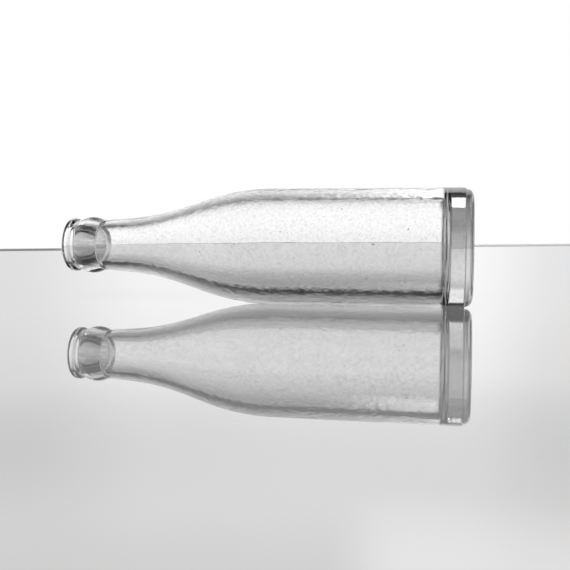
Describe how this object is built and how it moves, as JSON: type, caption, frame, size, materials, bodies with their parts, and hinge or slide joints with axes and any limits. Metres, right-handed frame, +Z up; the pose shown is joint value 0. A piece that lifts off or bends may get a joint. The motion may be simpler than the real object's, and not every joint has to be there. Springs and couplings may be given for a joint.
{
  "type": "soda bottle",
  "caption": "Small crown-top soda bottle in heavy clear glass, lying on its side, with a beaded neck finish, a long sloping shoulder, a straight round body and a thick base.",
  "frame": {"origin": "on the surface that the bottle lies on, under the middle of its length", "axes": "X along the bottle's axis, base towards +X and mouth towards -X; +Z up from the surface"},
  "size_m": [0.2, 0.0564, 0.0564],
  "materials": {
    "clear_glass": "polished outside, slightly hazy inside"
  },
  "bodies": {
    "root": {"base": "clear_glass", "body": "clear_glass", "shoulder": "clear_glass", "neck": "clear_glass", "collar": "clear_glass", "sealing_lip": "clear_glass"}
  },
  "joints": []
}
